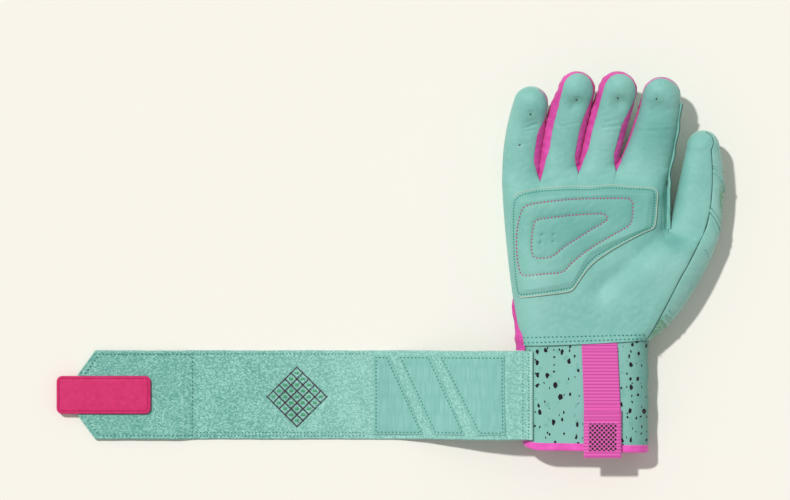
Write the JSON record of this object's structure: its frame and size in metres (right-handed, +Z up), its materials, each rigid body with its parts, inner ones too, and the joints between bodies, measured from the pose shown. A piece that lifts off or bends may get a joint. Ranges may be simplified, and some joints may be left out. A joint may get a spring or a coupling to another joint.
{
  "type": "batting glove",
  "caption": "Right-hand batting glove with stretch finger sidewalls, a padded palm, a slit wrist cuff, a pull tab and a long hook-and-loop wrist strap.",
  "frame": {"origin": "under the middle of the whole glove, on the surface that it lies on", "axes": "+X across the palm from the little finger to the thumb, along the laid-out strap; +Y from the cuff to the fingertips; +Z up out of the palm"},
  "size_m": [0.3806, 0.2192, 0.0385],
  "materials": {
    "palm_leather": "soft mint sheepskin with fine grain and a low satin sheen",
    "back_leather": "mint synthetic leather, fine grain, satin",
    "pink_stretch": "hot pink stretch knit, matte",
    "pad_foam": "thin closed-cell foam sheet",
    "cuff_fabric": "mint neoprene with a dark speckle print, matte",
    "cuff_lining": "pale knit lining, matte",
    "pink_binding": "hot pink folded stretch binding, slight sheen",
    "pink_webbing": "hot pink ribbed webbing, slight sheen",
    "strap_elastic": "mint twill woven elastic, matte",
    "loop_fastener": "mint brushed loop pile, matte",
    "hook_fastener": "mint moulded hook tape, matte",
    "rose_tag": "rose moulded soft rubber, satin gloss"
  },
  "bodies": {
    "hand": {"palm_panel": "palm_leather", "back_panel": "back_leather", "palm_pad": "palm_leather", "palm_pad_foam": "pad_foam", "wrist_gusset": "pink_stretch", "web_little_ring": "pink_stretch", "web_ring_middle": "pink_stretch", "web_middle_index": "pink_stretch", "cuff_panel": "cuff_fabric", "cuff_lining": "cuff_lining", "cuff_binding": "pink_binding", "pull_tab_webbing": "pink_webbing", "strap_anchor": "strap_elastic"},
    "little_finger": {"little_front": "palm_leather", "little_back": "back_leather", "little_fourchette": "pink_stretch"},
    "ring_finger": {"ring_front": "palm_leather", "ring_back": "back_leather", "ring_fourchette": "pink_stretch"},
    "middle_finger": {"middle_front": "palm_leather", "middle_back": "back_leather", "middle_fourchette": "pink_stretch"},
    "index_finger": {"index_front": "palm_leather", "index_back": "back_leather", "index_fourchette": "pink_stretch"},
    "thumb": {"thumb_front": "palm_leather", "thumb_back": "back_leather"},
    "strap_near": {"strap_near": "strap_elastic", "loop_patch_1": "loop_fastener", "loop_patch_2": "loop_fastener", "loop_patch_3": "loop_fastener"},
    "strap_far": {"strap_far": "strap_elastic"},
    "strap_tip": {"strap_tip": "strap_elastic", "hook_patch": "hook_fastener", "strap_tag": "rose_tag"},
    "pull_loop": {"pull_tab_loop": "pink_webbing"}
  },
  "joints": [
    {"name": "little_flex", "type": "hinge", "parent": "hand", "child": "little_finger", "pos_m": [0.07435, 0.04702, 0.0245], "axis": [0.992, -0.1263, 0], "range_deg": [0, 70]},
    {"name": "ring_flex", "type": "hinge", "parent": "hand", "child": "ring_finger", "pos_m": [0.09592, 0.04874, 0.0248], "axis": [0.9811, -0.1935, 0], "range_deg": [0, 70]},
    {"name": "middle_flex", "type": "hinge", "parent": "hand", "child": "middle_finger", "pos_m": [0.1174, 0.05148, 0.025], "axis": [0.9707, -0.2401, 0], "range_deg": [0, 70]},
    {"name": "index_flex", "type": "hinge", "parent": "hand", "child": "index_finger", "pos_m": [0.14311, 0.05148, 0.0255], "axis": [0.9714, -0.2373, 0], "range_deg": [0, 70]},
    {"name": "thumb_flex", "type": "hinge", "parent": "hand", "child": "thumb", "pos_m": [0.17239, 0.01654, 0.0265], "axis": [0.9919, -0.127, 0], "range_deg": [0, 45]},
    {"name": "strap_root", "type": "hinge", "parent": "hand", "child": "strap_near", "pos_m": [0.0727, -0.07453, 0.0243], "axis": [0, 1, 0], "range_deg": [-45, 90]},
    {"name": "strap_fold", "type": "hinge", "parent": "strap_near", "child": "strap_far", "pos_m": [-0.0143, -0.07453, 0.001], "axis": [0, 1, 0], "range_deg": [-90, 90]},
    {"name": "strap_tip_fold", "type": "hinge", "parent": "strap_far", "child": "strap_tip", "pos_m": [-0.1113, -0.07453, 0.001], "axis": [0, 1, 0], "range_deg": [-90, 60]},
    {"name": "pull_loop_lift", "type": "hinge", "parent": "hand", "child": "pull_loop", "pos_m": [0.1202, -0.08303, 0.0269], "axis": [-1, 0, 0], "range_deg": [0, 120]}
  ]
}
